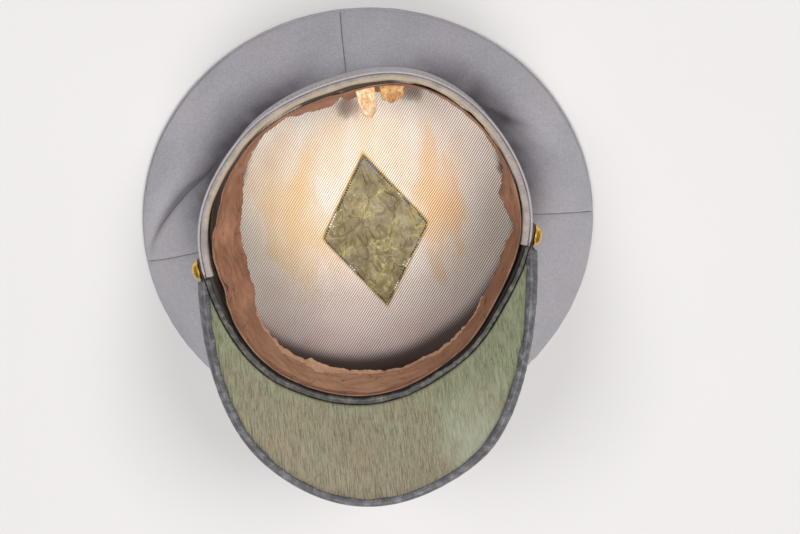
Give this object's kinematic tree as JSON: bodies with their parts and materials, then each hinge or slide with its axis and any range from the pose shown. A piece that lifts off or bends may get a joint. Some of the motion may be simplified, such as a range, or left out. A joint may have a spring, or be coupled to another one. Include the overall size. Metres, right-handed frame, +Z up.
{
  "type": "peaked cap",
  "caption": "Peaked cap of grey cloth lying upside down: wide flat crown on piping, straight band, bound peak, chin strap, leather sweatband and twill lining.",
  "frame": {"origin": "centre of the crown's flat top, which lies on the surface", "axes": "+Z up, from the crown's flat top to the opening; -Y is the front of the cap, where the peak is; +X is the right of the view"},
  "size_m": [0.2794, 0.272, 0.1324],
  "materials": {
    "crown_cloth": "matt grey fulled wool, a little worn",
    "band_cloth": "matt grey fulled wool",
    "edge_cloth": "matt light grey cloth, yellowed at the back",
    "sweat_leather": "dry brown leather, cracked and worn",
    "suede": "raw tan suede",
    "lining_cloth": "cream twill with brown diagonal lines, stained",
    "oiled_film": "wrinkled olive film, half gloss",
    "peak_board": "black, half gloss",
    "facing_leather": "green embossed leather, worn to olive",
    "black_leather": "blue-black leather, rubbed",
    "strap_leather": "brown leather, matt edge",
    "gilt": "gilt, worn bright"
  },
  "bodies": {
    "root": {"crown_top": "crown_cloth", "crown_welt": "crown_cloth", "crown_quarter_back_right": "crown_cloth", "crown_quarter_back_left": "crown_cloth", "crown_quarter_front_left": "crown_cloth", "crown_quarter_front_right": "crown_cloth", "band": "band_cloth", "outer_band": "band_cloth", "edge_roll": "edge_cloth", "seam_strip": "black_leather", "sweatband": "sweat_leather", "lining": "lining_cloth", "sweat_shield": "oiled_film", "torn_scrap": "suede", "torn_tab": "suede", "peak": "peak_board", "peak_facing": "facing_leather", "peak_binding": "black_leather", "chin_strap": "strap_leather", "button_left": "gilt", "button_right": "gilt"}
  },
  "joints": []
}
